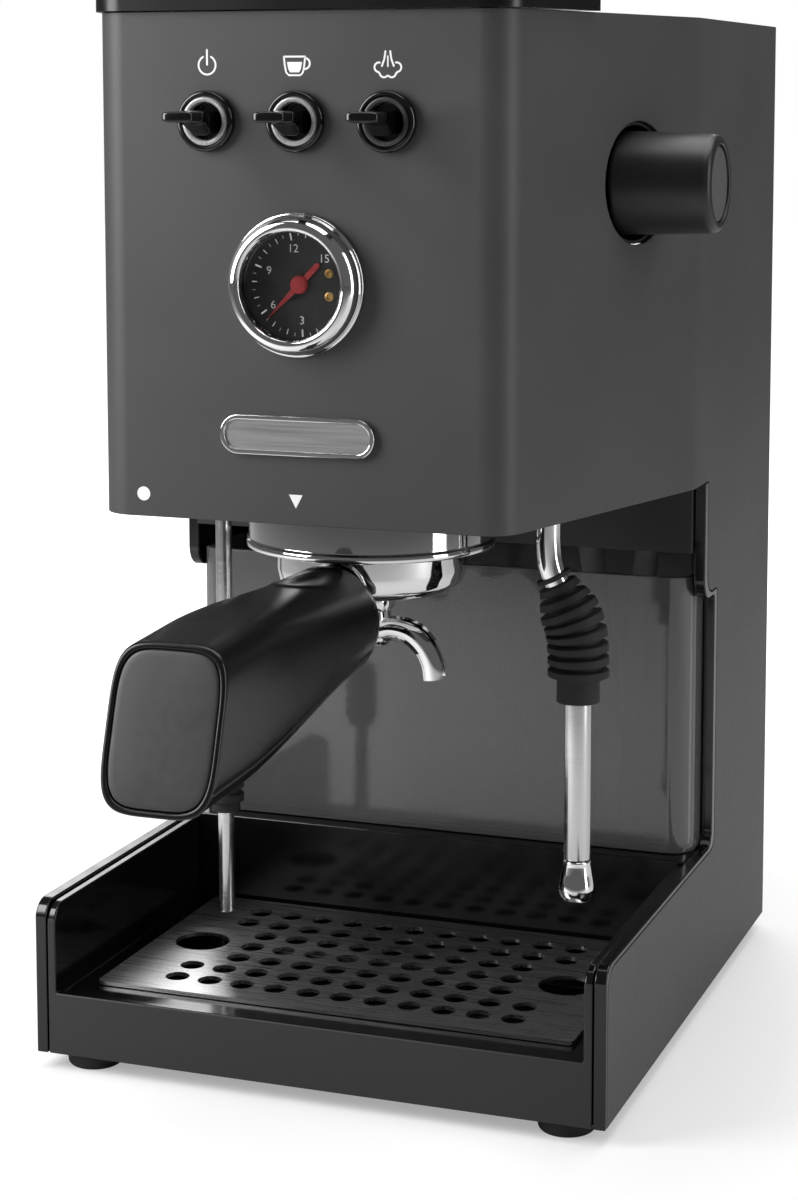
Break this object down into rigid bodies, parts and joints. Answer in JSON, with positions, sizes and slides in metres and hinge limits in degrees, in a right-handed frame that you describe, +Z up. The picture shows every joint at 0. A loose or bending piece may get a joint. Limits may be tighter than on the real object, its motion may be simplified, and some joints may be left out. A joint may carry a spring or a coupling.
{
  "type": "espresso machine",
  "caption": "Home espresso machine: flared steel body over a drip tray, locking portafilter, steam wand, toggle switches, pressure gauge and water tank.",
  "frame": {"origin": "middle of the bottom of the bounding box, on the surface that the feet stand on", "axes": "+X to the machine's right seen from the front, +Y from the front to the back, +Z up"},
  "size_m": [0.2234, 0.3554, 0.3699],
  "materials": {
    "painted_steel": "matt anthracite powder coat",
    "chrome": "bright plated",
    "stainless_steel": "polished and lightly brushed",
    "satin_black_plastic": "satin moulded",
    "gloss_black_plastic": "glossy moulded",
    "black_rubber": "matt",
    "brass": "machined",
    "cast_aluminium": "cast and machined",
    "smoked_plastic": "smoked translucent",
    "clear_lens": "clear",
    "silicone": "milky translucent",
    "red_paint": "painted",
    "circuit_board": "lacquered"
  },
  "bodies": {
    "machine": {"body_shell": "painted_steel", "back_panel": "painted_steel", "group_collar": "chrome", "gauge_bezel": "chrome", "front_badge": "chrome", "wand_nut": "chrome", "drain_pipe": "chrome", "drain_spout": "chrome", "cup_tray": "stainless_steel", "shower_screen": "stainless_steel", "lid_hinge_pin": "stainless_steel", "power_inlet": "satin_black_plastic", "head_floor": "satin_black_plastic", "base_plate": "satin_black_plastic", "side_liner_right": "satin_black_plastic", "side_liner_left": "satin_black_plastic", "bay_cover": "satin_black_plastic", "gauge_can": "satin_black_plastic", "gauge_dial": "satin_black_plastic", "pump": "satin_black_plastic", "filler_funnel": "satin_black_plastic", "tank_shelf": "gloss_black_plastic", "power_switch": "gloss_black_plastic", "brew_switch": "gloss_black_plastic", "steam_switch": "gloss_black_plastic", "foot_front_left": "black_rubber", "foot_front_right": "black_rubber", "foot_rear_left": "black_rubber", "foot_rear_right": "black_rubber", "group_gasket": "black_rubber", "drain_coupling": "black_rubber", "steam_valve": "brass", "gauge_tube": "brass", "solenoid_valve": "brass", "group_head": "cast_aluminium", "boiler": "cast_aluminium", "gauge_lens": "clear_lens", "suction_hose": "silicone", "return_hose": "silicone", "control_board": "circuit_board"},
    "lid": {"filler_lid": "satin_black_plastic"},
    "power_toggle": {"power_paddle": "gloss_black_plastic"},
    "brew_toggle": {"brew_paddle": "gloss_black_plastic"},
    "steam_toggle": {"steam_paddle": "gloss_black_plastic"},
    "knob": {"steam_knob": "satin_black_plastic"},
    "needle": {"gauge_needle": "red_paint"},
    "wand_swivel": {"wand_ball": "chrome"},
    "wand": {"wand_tube": "chrome", "wand_grip": "black_rubber", "wand_sleeve": "stainless_steel", "wand_tip": "chrome"},
    "portafilter": {"portafilter_body": "chrome", "portafilter_handle": "satin_black_plastic", "handle_cap": "painted_steel", "filter_basket": "stainless_steel", "portafilter_spout": "chrome"},
    "tray": {"drip_tray": "gloss_black_plastic"},
    "grille": {"drip_grille": "stainless_steel"},
    "tank": {"water_tank": "smoked_plastic"}
  },
  "joints": [
    {"name": "lid_hinge", "type": "hinge", "parent": "machine", "child": "lid", "pos_m": [-0.00875, -0.01396, 0.3674], "axis": [-1, 0, 0], "range_deg": [0, 100]},
    {"name": "power_tip", "type": "hinge", "parent": "machine", "child": "power_toggle", "pos_m": [-0.03995, -0.06576, 0.33], "axis": [1, 0, 0], "range_deg": [-14, 14], "stiffness_Nm_per_rad": 0.05},
    {"name": "brew_tip", "type": "hinge", "parent": "machine", "child": "brew_toggle", "pos_m": [-0.00875, -0.06576, 0.33], "axis": [1, 0, 0], "range_deg": [-14, 14], "stiffness_Nm_per_rad": 0.05},
    {"name": "steam_tip", "type": "hinge", "parent": "machine", "child": "steam_toggle", "pos_m": [0.02245, -0.06576, 0.33], "axis": [1, 0, 0], "range_deg": [-14, 14], "stiffness_Nm_per_rad": 0.05},
    {"name": "knob_turn", "type": "hinge", "parent": "machine", "child": "knob", "pos_m": [0.09125, 0.01164, 0.309], "axis": [1, 0, 0], "range_deg": [0, 360]},
    {"name": "needle_turn", "type": "hinge", "parent": "machine", "child": "needle", "pos_m": [-0.00875, -0.06386, 0.2776], "axis": [0, -1, 0], "range_deg": [-199, 104], "stiffness_Nm_per_rad": 0.0008},
    {"name": "wand_turn", "type": "hinge", "parent": "machine", "child": "wand_swivel", "pos_m": [0.05725, -0.00486, 0.2035], "axis": [0, 0, 1], "range_deg": [-75, 0]},
    {"name": "wand_tilt", "type": "hinge", "parent": "wand_swivel", "child": "wand", "pos_m": [0.05725, -0.00486, 0.2035], "axis": [0, -1, 0], "range_deg": [0, 28]},
    {"name": "portafilter_lock", "type": "hinge", "parent": "machine", "child": "portafilter", "pos_m": [-0.00875, -0.00046, 0.19], "axis": [0, 0, 1], "range_deg": [-40, 0]},
    {"name": "tray_slide", "type": "slide", "parent": "machine", "child": "tray", "axis": [0, -1, 0], "range_m": [0, 0.11]},
    {"name": "grille_lift", "type": "slide", "parent": "tray", "child": "grille", "axis": [0, 0, 1], "range_m": [0, 0.012]},
    {"name": "tank_slide", "type": "slide", "parent": "machine", "child": "tank", "axis": [0, -1, 0], "range_m": [0, 0.045]}
  ]
}
